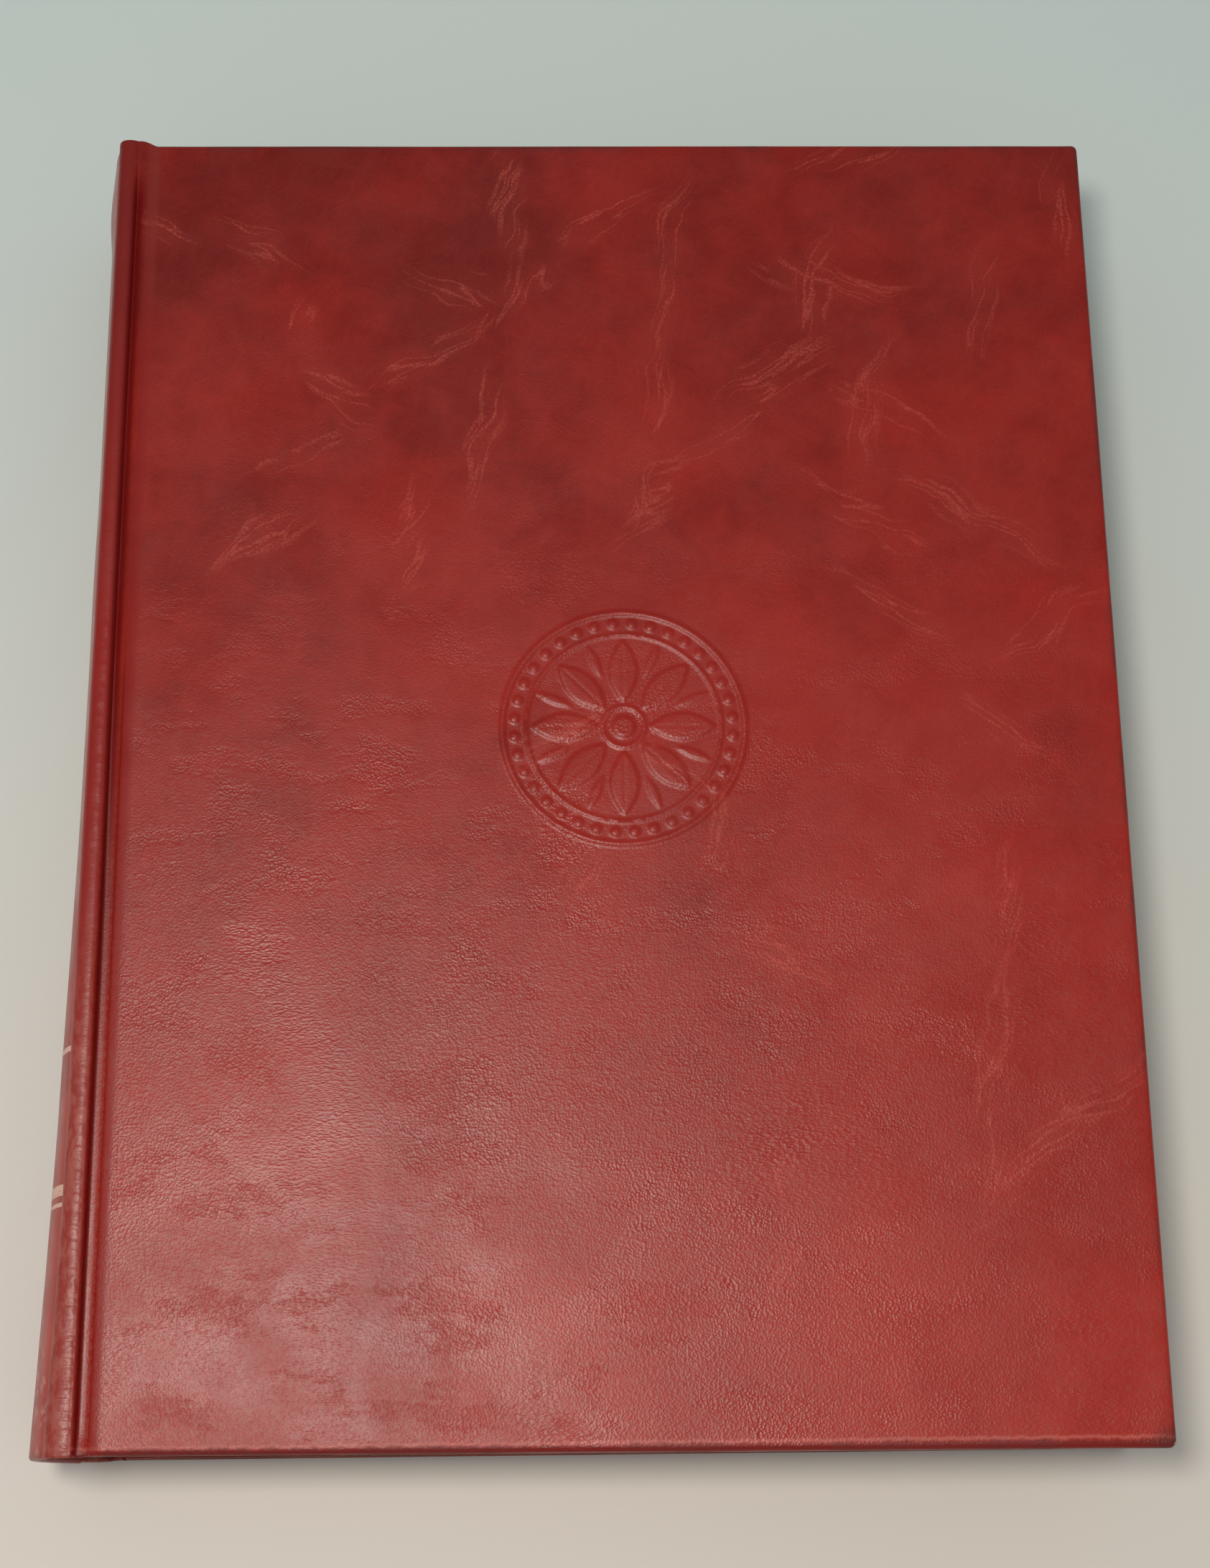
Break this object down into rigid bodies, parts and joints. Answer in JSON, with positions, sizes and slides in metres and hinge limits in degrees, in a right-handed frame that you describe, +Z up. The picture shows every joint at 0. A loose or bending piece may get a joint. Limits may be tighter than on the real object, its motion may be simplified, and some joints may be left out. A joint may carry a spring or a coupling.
{
  "type": "leather-bound book",
  "caption": "Thick case-bound book in red leather, with a rounded spine, grooved joints, gilt spine bands and a blind rosette on a cover that opens.",
  "frame": {"origin": "middle of the book's outline in plan, on the plane that its back cover rests on", "axes": "+X from the spine to the fore-edge, +Y from the tail to the head, +Z up through the front cover"},
  "size_m": [0.2246, 0.2882, 0.0434],
  "materials": {
    "leather": "mottled deep red, fine pebbled grain, semi-matt",
    "leaves": "aged page edges, faintly toned",
    "endpaper": "plain cream endpaper, matt",
    "board": "grey binder's board, matt",
    "lining": "glued gauze and paper",
    "band_cloth": "striped cloth, matt",
    "gilt": "worn gold leaf, low sheen"
  },
  "bodies": {
    "block": {"text_block": "leaves", "front_flyleaf": "endpaper", "back_flyleaf": "endpaper", "spine_lining": "lining", "headband": "band_cloth", "tailband": "band_cloth", "spine_inlay": "board", "spine_leather": "leather", "gilt_bands": "gilt"},
    "front_cover": {"front_board": "board", "front_cover_leather": "leather", "front_pastedown": "endpaper"},
    "back_cover": {"back_board": "board", "back_cover_leather": "leather", "back_pastedown": "endpaper"}
  },
  "joints": [
    {"name": "front_cover_hinge", "type": "hinge", "parent": "block", "child": "front_cover", "pos_m": [-0.10295, 0, 0.04093], "axis": [0, -1, 0], "range_deg": [0, 175]},
    {"name": "back_cover_hinge", "type": "hinge", "parent": "block", "child": "back_cover", "pos_m": [-0.10295, 0, 0.00208], "axis": [0, 1, 0], "range_deg": [0, 175]}
  ]
}
